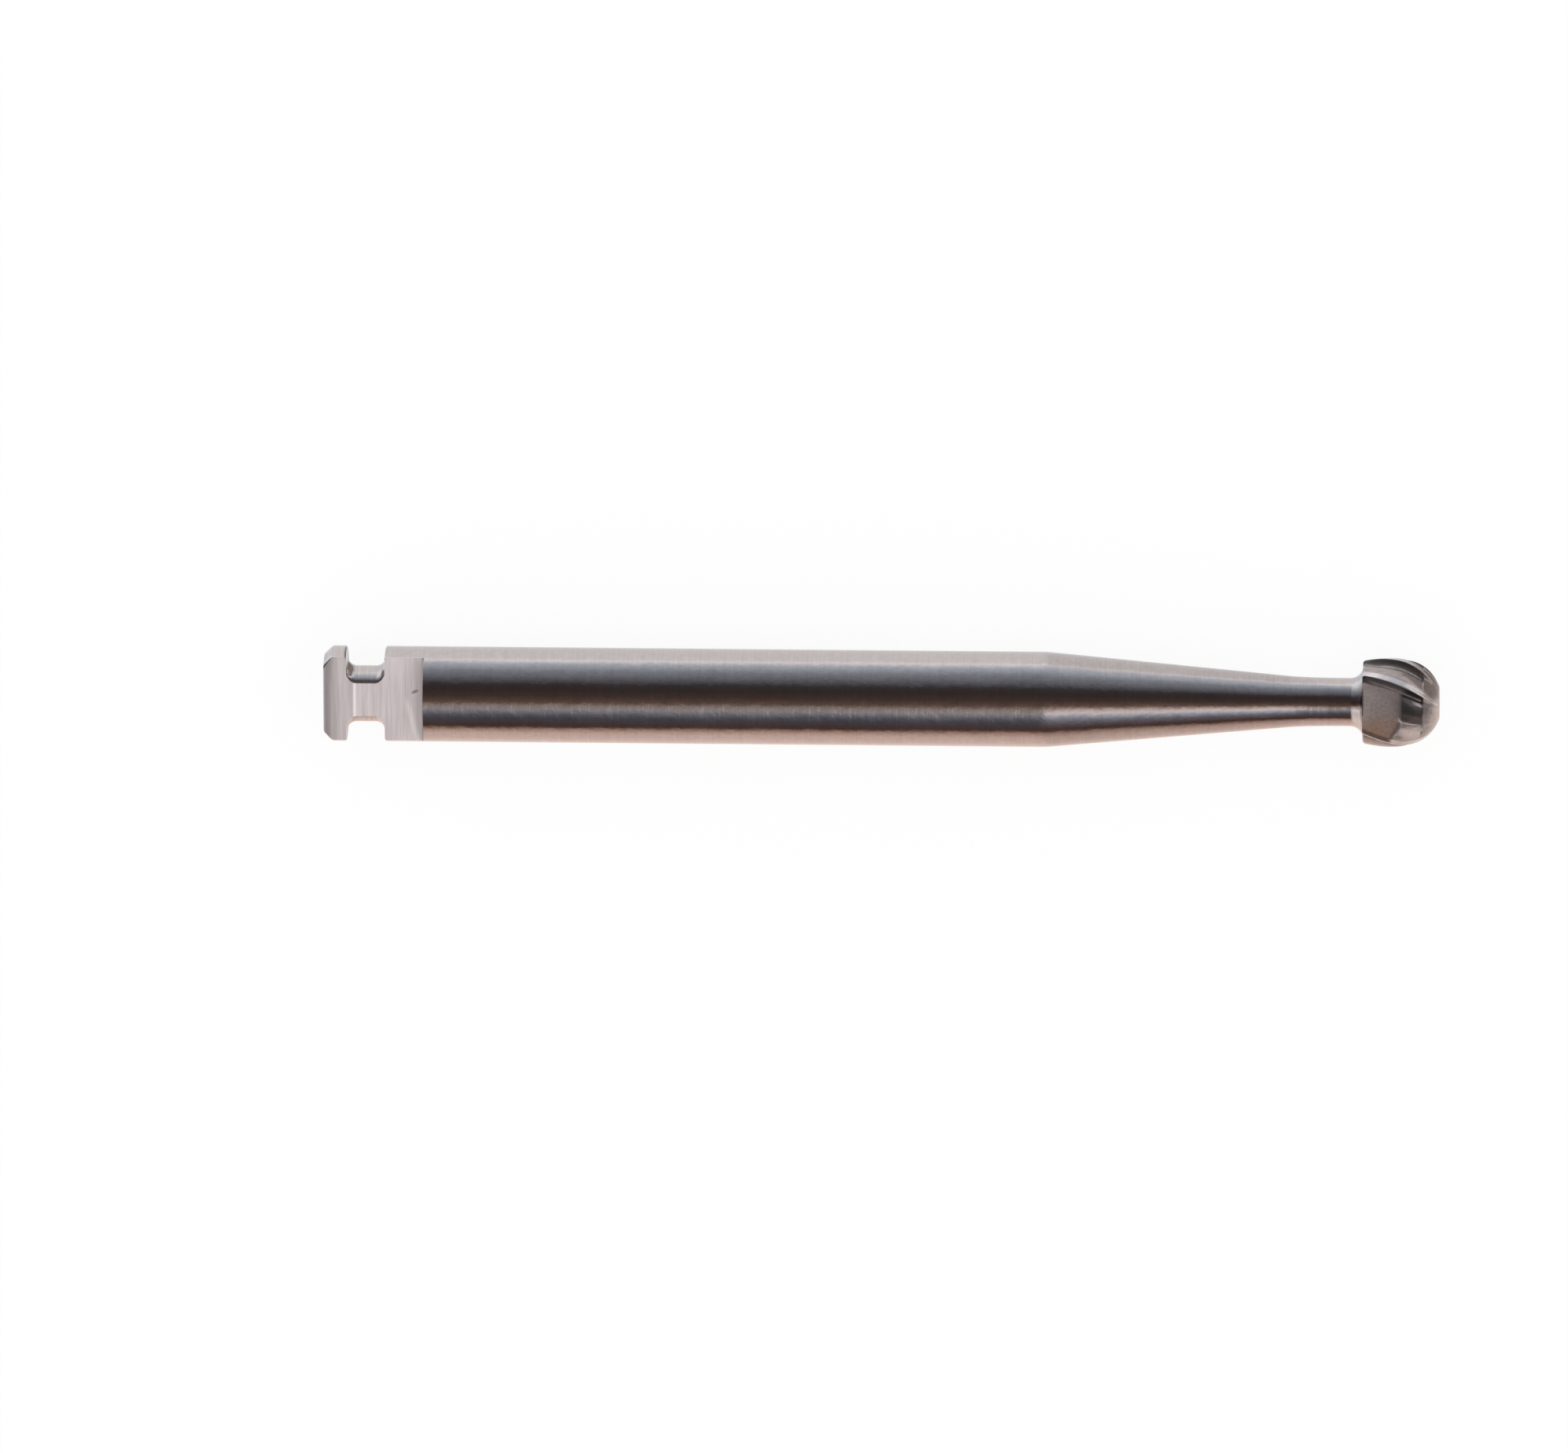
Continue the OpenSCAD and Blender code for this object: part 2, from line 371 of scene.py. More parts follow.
# Steps in which the shank's half section and its cross section are drawn
EDGE_BREAK_STEPS = 4
WALL_STEPS = 4
ROUND_EDGE_STEPS = 6
GROOVE_CORNER_STEPS = 14
GROOVE_FLOOR_STEPS = 8
FLAT_STEPS = 8
FLAT_FOOT_STEPS = 5
FLAT_END_STEPS = 4
BODY_STEPS = 60
TAPER_STEPS = 30
NECK_BEND_STEPS = 16
NECK_STEPS = 6
FLARE_STEPS = 24
FLARE_EDGE_STEPS = 3
CHORD_STEPS = 20
EDGE_STEPS = 7
ROUND_STEPS = 75

# Rings across the shank's end faces, as shares of their radius
LATCH_FACE_SHARES = (0.001, 0.2, 0.4, 0.55, 0.68)
HEAD_FACE_SHARES = (0.7, 0.35, 0.001)

# A ring too small to reach the flat gets a tiny one at this share of its radius, and no edge is
# rounder than this many times the depth of its flat
INNER_FLAT = 0.999
INNER_EDGE = 1.3

SHARP_STEEL = math.radians(40)
MERGE_DISTANCE = 1e-7


def spread(start, end, steps, first=0):
    """Evenly spaced values from start to end, which can leave out the first ones."""
    return [start + (end - start) * i / steps for i in range(first, steps + 1)]


def arc(centre_r, centre_x, r, start, end, steps):
    """Points [radius, length] on an arc in the half section, angles in degrees."""
    angles = [math.radians(start + (end - start) * i / steps) for i in range(steps + 1)]
    return [(centre_r + r * math.cos(a), centre_x + r * math.sin(a)) for a in angles]


def bend(a, b, c, steps):
    """A soft bend at corner b on the way from a to c."""
    points = []
    for i in range(steps + 1):
        t = i / steps
        weights = ((1 - t) ** 2, 2 * t * (1 - t), t * t)
        points.append(tuple(sum(w * p[k] for w, p in zip(weights, (a, b, c))) for k in (0, 1)))
    return points


def straight(a, b, steps):
    """Points on the straight way from a to b, without its ends."""
    shares = [i / steps for i in range(1, steps)]
    return [(a[0] + (b[0] - a[0]) * t, a[1] + (b[1] - a[1]) * t) for t in shares]


def latch_section():
    """Half section of the latch end, up to the end of the groove."""
    e = EDGE_BREAK
    bevel = DISC_CHAMFER
    groove_end = DISC_T + GROOVE_W
    points = [(SHANK_R * f, 0) for f in LATCH_FACE_SHARES]
    inner = (SHANK_R - bevel, 0)
    rim = (SHANK_R, bevel)
    wall_top, wall_foot = SHANK_R - GROOVE_EDGE, GROOVE_R + GROOVE_CORNER
    points += bend((inner[0] - e, 0), inner, (inner[0] + e, e), EDGE_BREAK_STEPS)
    points += bend(
        (SHANK_R - RIM_ROUND, bevel - RIM_ROUND), rim, (SHANK_R, bevel + RIM_ROUND), ROUND_EDGE_STEPS
    )
    points += straight(points[-1], (SHANK_R, DISC_T - GROOVE_EDGE), WALL_STEPS)
    points += arc(wall_top, DISC_T - GROOVE_EDGE, GROOVE_EDGE, 0, 90, ROUND_EDGE_STEPS)
    points += straight((wall_top, DISC_T), (wall_foot, DISC_T), WALL_STEPS)
    points += arc(wall_foot, DISC_T + GROOVE_CORNER, GROOVE_CORNER, 270, 180, GROOVE_CORNER_STEPS)
    points += straight(points[-1], (GROOVE_R, groove_end - GROOVE_CORNER), GROOVE_FLOOR_STEPS)
    points += arc(wall_foot, groove_end - GROOVE_CORNER, GROOVE_CORNER, 180, 90, GROOVE_CORNER_STEPS)
    points += straight((wall_foot, groove_end), (wall_top, groove_end), WALL_STEPS)
    points += arc(wall_top, groove_end + GROOVE_EDGE, GROOVE_EDGE, 270, 360, ROUND_EDGE_STEPS)
    return points


def body_section():
    """Half section from the end of the drive flat to the head."""
    slope = (SHANK_R - NECK_R) / TAPER_L
    neck_start = BODY_L + TAPER_L
    neck_end = neck_start + NECK_L
    soft_from = (SHANK_R, BODY_L - TAPER_SOFTENING)
    soft_to = (SHANK_R - slope * TAPER_SOFTENING, BODY_L + TAPER_SOFTENING)
    points = straight((SHANK_R, FLAT_L), soft_from, BODY_STEPS)
    points += bend(soft_from, (SHANK_R, BODY_L), soft_to, ROUND_EDGE_STEPS)
    bend_from = (NECK_R + slope * NECK_BEND_BEFORE, neck_start - NECK_BEND_BEFORE)
    bend_to = (NECK_R, neck_start + NECK_BEND_AFTER)
    points += straight(points[-1], bend_from, TAPER_STEPS)
    points += bend(bend_from, (NECK_R, neck_start), bend_to, NECK_BEND_STEPS)
    points += straight(points[-1], (NECK_R, neck_end), NECK_STEPS)
    turned = math.degrees(FLARE_TURN)
    points += arc(NECK_R + FLARE_R, neck_end, FLARE_R, 180, 180 - turned, FLARE_STEPS)
    rim = points[-1]
    e = EDGE_BREAK / 2
    points[-1] = (rim[0] - 2 * e, rim[1] - 2 * e / math.tan(FLARE_TURN))
    points += bend(points[-1], rim, (rim[0] - e, BACK_FACE), FLARE_EDGE_STEPS)[1:]
    points += [(rim[0] * f, BACK_FACE) for f in HEAD_FACE_SHARES]
    return points


def flat_side(r, edge):
    """One side of the cross section at radius r, with the drive flat and its edge broken."""
    height = min(FLAT_Z, r * INNER_FLAT)
    edge = min(edge, (r - height) * INNER_EDGE)
    centre_y = math.sqrt(max((r - edge) ** 2 - (height - edge) ** 2, 0))
    start = math.atan2(centre_y, height - edge)
    side = [(centre_y * i / CHORD_STEPS, height) for i in range(CHORD_STEPS)]
    for i in range(EDGE_STEPS):
        a = start * i / EDGE_STEPS
        side.append((centre_y + edge * math.sin(a), height - edge + edge * math.cos(a)))
    for i in range(ROUND_STEPS):
        a = start + (math.pi - start) * i / ROUND_STEPS
        side.append((r * math.sin(a), r * math.cos(a)))
    return side


def flat_outline(r):
    """Cross section [y, z] at radius r. The flat's edge in the groove is worn round towards +Y."""
    in_groove = min(1, 2 * (SHANK_R - r) / (SHANK_R - GROOVE_R))
    worn = flat_side(r, FLAT_EDGE + (GROOVE_FLAT_EDGE - FLAT_EDGE) * in_groove)
    crisp = flat_side(r, FLAT_EDGE)
    return worn + [(0, -r)] + [(-y, z) for y, z in crisp[:0:-1]]


def round_outline(r, pattern):
    """Cross section at radius r with points at the angles of the pattern's points."""
    angles = [math.atan2(y, z) for y, z in pattern]
    return [(r * math.sin(a), r * math.cos(a)) for a in angles]


def make_mesh(name, rings, **attributes):
    """A closed skin through rings of points in millimetres, with named values at the points."""
    bm = bmesh.new()
    layers = {key: bm.verts.layers.float.new(key) for key in attributes}
    rows = [[bm.verts.new(p * MM) for p in ring] for ring in rings]
    for key, values in attributes.items():
        for vert, value in zip((v for row in rows for v in row), (v for row in values for v in row)):
            vert[layers[key]] = value
    count = len(rings[0])
    for low, high in zip(rows, rows[1:]):
        for i in range(count):
            j = (i + 1) % count
            bm.faces.new((low[i], low[j], high[j], high[i]))
    bm.faces.new(rows[0][::-1])
    bm.faces.new(rows[-1])
    bmesh.ops.remove_doubles(bm, verts=bm.verts, dist=MERGE_DISTANCE)
    bmesh.ops.recalc_face_normals(bm, faces=bm.faces)
    mesh = bpy.data.meshes.new(name)
    bm.to_mesh(mesh)
    bm.free()
    return mesh


def shade(mesh, sharp_angle):
    """Smooth shading with sharp edges where faces meet at more than this angle."""
    bm = bmesh.new()
    bm.from_mesh(mesh)
    for face in bm.faces:
        face.smooth = True
    for edge in bm.edges:
        edge.smooth = len(edge.link_faces) == 2 and edge.calc_face_angle(0) < sharp_angle
    bm.to_mesh(mesh)
    bm.free()


def make_shank():
    """The shank's skin, ring by ring from the latch end to the head."""
    pattern = flat_outline(SHANK_R)
    start = cad_low.x / MM
    rings = []
    for r, x in latch_section():
        rings.append((start + x, flat_outline(r)))
    flat_from = DISC_T + GROOVE_W + GROOVE_EDGE
    for x in spread(flat_from, FLAT_L - FLAT_FOOT, FLAT_STEPS, 1):
        rings.append((start + x, pattern))
    full = round_outline(SHANK_R, pattern)
    for a in spread(0, math.pi / 2, FLAT_FOOT_STEPS, 1):
        rise = FLAT_FOOT * (1 - math.cos(a))
        lifted = [(y, min(z + rise, max(z, fz))) for (y, z), (_, fz) in zip(pattern, full)]
        rings.append((start + FLAT_L - FLAT_FOOT + FLAT_FOOT * math.sin(a), lifted))
    for t in spread(0, 1, FLAT_END_STEPS, 1):
        rings.append((start + FLAT_L, [
            (ly + (fy - ly) * t, lz + (fz - lz) * t) for (ly, lz), (fy, fz) in zip(lifted, full)
        ]))
    for r, x in body_section():
        rings.append((start + x, round_outline(r, pattern)))
    skin = [[Vector((x, y, z + SHANK_R)) for y, z in ring] for x, ring in rings]
    mesh = make_mesh("shank_steel", skin)
    shade(mesh, SHARP_STEEL)
    shank = link(bpy.data.objects.new("shank_steel", mesh))
    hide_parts("shank")
    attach(shank, "root")
    return shank


# Carbide head

PITCH = 2 * math.pi / TEETH
LAND_A = LAND_W / BALL_R
LEAN_A = FACE_LEAN / BALL_R
FOOT_A = LEAN_A + FACE_FOOT / BALL_R
FLUTE_END = BACK_L + FLUTE_FRONT_L
BROKEN, BELOW = TEETH - 1, TEETH - 2
BREAK_FROM = LAND_A - PITCH
BREAK_TO = PITCH - FOOT_A
EDGE_WEAR = 0.003
FOOT_SHARE = 0.45
SHARP_CARBIDE = math.radians(32)

# Steps of the skin along the broken part, each short step, the whole flutes and the nose
BROKEN_STEPS = 36
SHORT_STEPS = 4
WHOLE_STEPS = 22
NOSE_STEPS = 22

# Points across one tooth: part of the profile and how far along it
BACK_STEPS, FOOT_STEPS = 12, 6
PROFILE = (
    [("land", t) for t in (0, 0.07, 0.35, 0.65, 0.95, 1)]
    + [("back", t) for t in spread(0, 1, BACK_STEPS, 1)]
    + [("foot", t) for t in spread(0, 1, FOOT_STEPS, 1)]
    + [("face", t) for t in (0.35, 0.65, 0.93)]
)

# How bright each part of a tooth is painted, start to end: grinding finish with painted shade on the
# face and foot and a painted highlight on the land
FINISH_AND_PAINTED_LIGHT = {"land": (1.0, 1.0), "back": (0.4, 0.4), "foot": (0.42, 0.09), "face": (0.08, 0.08)}

# The same for what is left of the broken tooth (painted shade), the ground below it (painted light),
# and the nose and the tip, again with painted light and shade
STUB_PAINTED_SHADE = 0.06
BELOW_STUB_PAINTED_LIGHT = 0.8
NOSE_FINISH_AND_PAINTED_LIGHT = {"land": 1.0, "back": 0.3, "foot": 0.3, "face": 0.3}
TIP_FINISH = 0.6

# Painted glint, a highlight painted into the colour, on what is left of the broken tooth: its length
# before the flutes end and its place across
PAINTED_GLINT = 0.9
GLINT_L = 0.3
GLINT_FROM, GLINT_TO = 0.74, 0.84

# Rings across the flat back face and tip, as shares of their radius
BACK_SHARES = (0.001, 0.4, 0.75, 0.95, 1)
TIP_SHARES = (0.9, 0.6, 0.3, 0.001)


def polar(r, a):
    """The point at radius r and angle a."""
    return Vector((r * math.cos(a), r * math.sin(a)))


def edge_radius(x):
    """Radius over the cutting edges: a gentle barrel and then a ball."""
    if x < BACK_L:
        return BALL_R - (BALL_R - BACK_R) * ((BACK_L - x) / BACK_L) ** 2
    return math.sqrt(max(BALL_R ** 2 - (x - BACK_L) ** 2, 0))


def turn(x):
    """Turn of the teeth round the axis at a constant helix angle."""
    if x < BACK_L:
        return -math.tan(HELIX) * (x - BACK_L) / BALL_R
    latitude = math.asin(min((x - BACK_L) / BALL_R, 1))
    return -math.tan(HELIX) * math.log(math.tan(math.pi / 4 + latitude / 2))


def deep(x):
    """Depth of the flutes up to their step."""
    return FLUTE_DEPTH - (FLUTE_DEPTH - FLUTE_DEPTH_BACK) * max(0, 1 - x / FLUTE_DEEPEN_L)


def shallow(x):
    """Depth of the run-outs over the nose."""
    return RUNOUT_DEPTH * (HEAD_L - x) / (HEAD_L - FLUTE_END)


def tooth_point(r, d, part, t):
    """Radius and angle of a point on a tooth, measured back from its cutting edge."""
    fall = min(LAND_W * math.tan(LAND_CLEARANCE), d / 2)
    wear = min(EDGE_WEAR, d / 4)
    if part == "land":
        p = polar(r, 0).lerp(polar(r - fall, LAND_A), t)
        return p.length - (wear if t == 0 else 0), math.atan2(p.y, p.x)
    if part == "back":
        return r - fall - (d - fall) * t ** BACK_CURVE, LAND_A + (PITCH - FOOT_A - LAND_A) * t
    a, b = (r - d, PITCH - FOOT_A), (r - d, PITCH - LEAN_A)
    c = (r - FOOT_SHARE * d, PITCH - FOOT_SHARE * LEAN_A)
    if part == "foot":
        u = 1 - t
        return tuple(u * u * p + 2 * u * t * q + t * t * s for p, q, s in zip(a, b, c))
    return c[0] + (r - c[0]) * t, c[1] + (PITCH - c[1]) * t


def break_radius(r, d, a):
    """Radius of the broken surface at angle a from the lost edge."""
    fall = min(LAND_W * math.tan(LAND_CLEARANCE), d / 2)
    p, q = polar(r - fall, BREAK_FROM), polar(r - d, BREAK_TO)
    across = (q - p).normalized()
    height = p.x * across.y - p.y * across.x
    s = (a - BREAK_FROM) / (BREAK_TO - BREAK_FROM)
    straight_r = abs(height / (math.cos(a) * across.y - math.sin(a) * across.x))
    return straight_r + BREAK_BULGE * 4 * s * (1 - s)


def in_break(j, part):
    """Whether the break takes this part of tooth j."""
    if j == BROKEN:
        return part in ("land", "back")
    return j == BELOW and part != "land"


def break_end(j, a):
    """Where the break ends at angle a of tooth j: level, then slanting beside the tooth below."""
    if j == BELOW:
        share = max(0, a - LAND_A) / (PITCH - LAND_A)
        return BREAK_LOW_L + (BREAK_L - BREAK_LOW_L) * math.sin(share * math.pi / 2)
    if j == BELOW - 1:
        return BREAK_L + (BREAK_LOW_L - BREAK_L) * a / PITCH
    return BREAK_L


def finish_and_painted_light_at(j, part, t, x, full):
    """How bright a point of tooth j is painted: its grinding finish with painted shade and painted
    highlights.
    """
    start, end = FINISH_AND_PAINTED_LIGHT[part]
    finish_and_light = start + (end - start) * t
    if j == BROKEN:
        finish_and_light = {"foot": finish_and_light * (1 - t), "face": 0}.get(part, STUB_PAINTED_SHADE)
        if part == "back" and GLINT_FROM < t < GLINT_TO:
            finish_and_light += (PAINTED_GLINT - finish_and_light) * min(1, max(0, 1 - (FLUTE_END - x) / GLINT_L))
    if j == BELOW and part != "land":
        finish_and_light += (BELOW_STUB_PAINTED_LIGHT - finish_and_light) * (t if part == "back" else 1)
    to_tip = max(0, (x - FLUTE_END) / (HEAD_L - FLUTE_END)) ** 2
    nose_part = "back" if j == BROKEN else part
    nose = NOSE_FINISH_AND_PAINTED_LIGHT[nose_part] + (TIP_FINISH - NOSE_FINISH_AND_PAINTED_LIGHT[nose_part]) * to_tip
    return finish_and_light * full + nose * (1 - full)


def rim_shade_at(j, part, t, lost):
    """How dark the painted shade along the lower rim of the break is at a point of tooth j."""
    if j == BELOW and part == "land" and t > LAND_KEPT:
        return min(1, 2 * lost)
    if j == BELOW and part == "back":
        return 4 * lost * (1 - lost)
    return 0


def head_stations():
    """Rings along the head: place, share of the break there and share of the deep flutes."""
    step_from, step_to = BREAK_L - BREAK_STEP_L / 2, BREAK_L + BREAK_STEP_L / 2
    break_step = spread(step_from, step_to, SHORT_STEPS)
    flute_step = spread(FLUTE_END - FLUTE_STEP_L, FLUTE_END, SHORT_STEPS)
    runs = [(x, 1, 1) for x in spread(RIM_CHAMFER, step_from, BROKEN_STEPS)]
    runs += [(x, 1 - i / SHORT_STEPS, 1) for i, x in enumerate(break_step) if i]
    runs += [(x, 0, 1) for x in spread(step_to, flute_step[0], WHOLE_STEPS, 1)]
    runs += [(x, 0, 1 - i / SHORT_STEPS) for i, x in enumerate(flute_step) if i]
    nose_from = math.asin(FLUTE_FRONT_L / BALL_R)
    nose_to = math.asin((HEAD_L - BACK_L) / BALL_R)
    runs += [(BACK_L + BALL_R * math.sin(a), 0, 0) for a in spread(nose_from, nose_to, NOSE_STEPS, 1)]
    return runs


def head_ring(x, lost, full):
    """Points of one ring as [x, radius, angle, share of the break, brightness with painted light,
    painted rim shade].
    """
    ring = []
    for j in range(TEETH):
        for part, t in PROFILE:
            a0 = tooth_point(BALL_R, FLUTE_DEPTH, part, t)[1]
            shift = break_end(j, a0) - BREAK_L
            place = x + shift * (x / BREAK_L if x < BREAK_L else (HEAD_L - x) / (HEAD_L - BREAK_L))
            r = edge_radius(place)
            d = full * deep(min(place, FLUTE_END)) + (1 - full) * shallow(max(place, FLUTE_END))
            radius, a = tooth_point(r, d, part, t)
            broken = lost if in_break(j, part) else 0
            if broken:
                away = a - (PITCH if j == BELOW else 0)
                radius += (break_radius(r, d, away) - radius) * broken
            chipped = lost if j == BELOW and part == "land" and t > LAND_KEPT else broken
            looks = (chipped, finish_and_painted_light_at(j, part, t, place, full), rim_shade_at(j, part, t, lost))
            ring.append((place, radius, FIRST_EDGE + turn(place) + j * PITCH + a, *looks))
    return ring


def make_head():
    """The head's skin, ring by ring from the back face to the tip."""
    rings = [head_ring(*station) for station in head_stations()]
    first, last = rings[0], rings[-1]
    back = [[(0, (r - RIM_CHAMFER) * f, *rest) for _, r, *rest in first] for f in BACK_SHARES]
    tip = [[(x, r * f, *rest) for x, r, *rest in last] for f in TIP_SHARES]
    rings = back + rings + tip
    start = head_low.x / MM
    skin = [
        [Vector((start + x, r * math.sin(a), SHANK_R + r * math.cos(a))) for x, r, a, *_ in ring]
        for ring in rings
    ]
    broken, polish, stain = ([[point[k] for point in ring] for ring in rings] for k in (3, 4, 5))
    mesh = make_mesh("head_carbide", skin, broken=broken, polish=polish, stain=stain)
    shade(mesh, SHARP_CARBIDE)
    head = link(bpy.data.objects.new("head_carbide", mesh))
    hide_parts("head")
    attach(head, "root")
    return head


# Finishes

# The part of the noise that is stretched to 0 and 1
NOISE_LOW, NOISE_HIGH = 0.3, 0.7

# Ground steel: colour, roughness, half of its tones, depths of its relief and the darkening towards the
# head's back face
STEEL = (0.60, 0.58, 0.57)
STEEL_ROUGHNESS = (0.09, 0.15)
STEEL_HALF_TONES = (0.46, 0.54)
RIPPLE_DEPTH, MOTTLE_DEPTH, RING_DEPTH = 0.0035, 0.001, 0.0005
JOINT_L, JOINT_TONE = 0.07, 0.6

# Turned steel
TURNED_TONES = (0.92, 1.12)
TURNED_ROUGHNESS, TURNED_METALLIC, TURNED_DEPTH = 0.2, 0.95, 0.0015

# Carbide by its polish and painted light, from the darkest painted shade in the flutes to the brightest
# lands, and the break, painted darker towards its far end as shade
CARBIDE = [(0.0, (0.045, 0.042, 0.043)), (0.4, (0.42, 0.375, 0.36)), (1.0, (0.70, 0.67, 0.66))]
FRACTURE = (0.30, 0.26, 0.25)
FRACTURE_SHADE = (0.20, 0.165, 0.16)
FRACTURE_BROWN = (0.28, 0.175, 0.125)
SHADE_FROM, BROWN_FROM, BROWN_TO = 0.1, 0.0, -0.5
UNEVEN = 0.4
# Painted shade along the break's lower rim: its colour and strength
RIM_SHADE_COLOUR = (0.07, 0.042, 0.034)
RIM_SHADE_STRENGTH = 0.8
GROUND_TONES, FRACTURE_TONES = (0.85, 1.12), (0.85, 1.15)
GROUND_ROUGHNESS, FRACTURE_ROUGHNESS = 0.24, 0.7
GROUND_METALLIC, FRACTURE_METALLIC = 0.78, 0.4
GRINDING_DEPTH, GRIT_DEPTH = 0.003, 0.007

# Milled steel of the drive flat
MILLED = (0.70, 0.64, 0.645)
MILLED_TONES = (0.84, 1.14)
COARSE_MARKS, FINE_MARKS = 0.6, 0.4
MILLED_ROUGHNESS, MILLED_METALLIC, MILLED_DEPTH = 0.5, 0.4, 0.006

# Tone of the drive flat, by the distance from the latch end in millimetres. The first values were
# worked out from the photograph's tones along the flat, and then changed
# Painted light in these tones: painted shade near the latch end and at the flat's foot, and a painted
# highlight line where the groove starts; the rest is the milled tone
FLAT_TONES_AND_PAINTED_LIGHT = [
    (0.0, 0.95), (0.05, 0.5), (0.10, 0.5), (0.20, 0.75), (0.42, 1.0), (0.72, 0.95), (0.75, 1.5),
    (0.80, 1.5), (0.82, 1.1), (2.15, 1.15), (2.42, 1.0), (2.475, 0.5),
]

# The pit and the scuff in the drive flat
PIT_AT = (2.27, 0.2)
PIT_R, PIT_FLOOR_R, PIT_RAGGED = 0.05, 0.006, 0.012
PIT_STRETCH, PIT_SLOPE = 2.2, -0.35
PIT_TONE, PIT_DEPTH = 0.45, 3.0
SCUFF_AT, SCUFF_SLOPE, SCUFF_W = 2.05, -0.25, 0.12
SCUFF_FROM, SCUFF_TO, SCUFF_TONE = 0.1, -0.2, 1.22


def new_material(name):
    """A material, its graph and the place on the burr in millimetres."""
    material = bpy.data.materials.new(name)
    material.use_nodes = True
    g = Graph(material.node_tree)
    place = g.node("ShaderNodeTexCoord").outputs["Object"]
    return material, g, g.vector("MULTIPLY", place, (1 / MM,) * 3)


def grain(g, place, stretch, detail=3.0, seed=0.0):
    """Noise from 0 to 1 with so many waves a millimetre along each axis."""
    inputs = {0: place, 1: stretch, 2: (seed,) * 3}
    waves = g.node("ShaderNodeVectorMath", inputs, operation="MULTIPLY_ADD").outputs[0]
    made = g.node("ShaderNodeTexNoise", {"Vector": waves, "Scale": 1.0, "Detail": detail})
    return g.ramp(made.outputs["Fac"], NOISE_LOW, NOISE_HIGH)


def scaled(g, colour, factor):
    """A colour times a value."""
    made = g.node("ShaderNodeVectorMath", {0: colour, "Scale": factor}, operation="SCALE")
    return made.outputs[0]


def bump(g, height, depth, normal=None):
    """Relief of a depth in millimetres, on top of the relief in normal."""
    made = g.node("ShaderNodeBump", {"Height": height, "Strength": 1.0, "Distance": depth * MM})
    if normal is not None:
        g.tree.links.new(normal, made.inputs["Normal"])
    return made.outputs[0]


def metal(g, colour, roughness, normal, metallic=1.0):
    """Ends a material's graph with its shader."""
    shader = g.node("ShaderNodeBsdfPrincipled", {
        "Base Color": colour, "Metallic": metallic, "Roughness": roughness, "Normal": normal,
    })
    g.node("ShaderNodeOutputMaterial", {"Surface": shader.outputs[0]})


def ground_steel():
    """Centreless ground steel: fine rings, mottles and a faint waviness, darker towards the head's back
    face.
    """
    material, g, place = new_material("ground_steel")
    rings = grain(g, place, (14, 0.8, 0.8))
    waves = grain(g, place, (0.9, 0.6, 0.6), seed=7)
    ripples = grain(g, place, (2.6, 2.2, 2.2), detail=4, seed=3)
    mottles = grain(g, place, (6, 7, 7), detail=4, seed=11)
    tones = g.math(
        "ADD", g.ramp(rings, 0, 1, *STEEL_HALF_TONES), g.ramp(mottles, 0, 1, *STEEL_HALF_TONES)
    )
    along = g.math("SUBTRACT", g.node("ShaderNodeSeparateXYZ", {0: place}).outputs["X"], cad_low.x / MM)
    joint = g.ramp(along, BACK_FACE - JOINT_L, BACK_FACE, 1, JOINT_TONE, smooth=True)
    metal(
        g,
        scaled(g, STEEL, g.math("MULTIPLY", tones, joint)),
        g.ramp(waves, 0, 1, *STEEL_ROUGHNESS),
        bump(g, ripples, RIPPLE_DEPTH, bump(g, mottles, MOTTLE_DEPTH, bump(g, rings, RING_DEPTH))),
    )
    return material


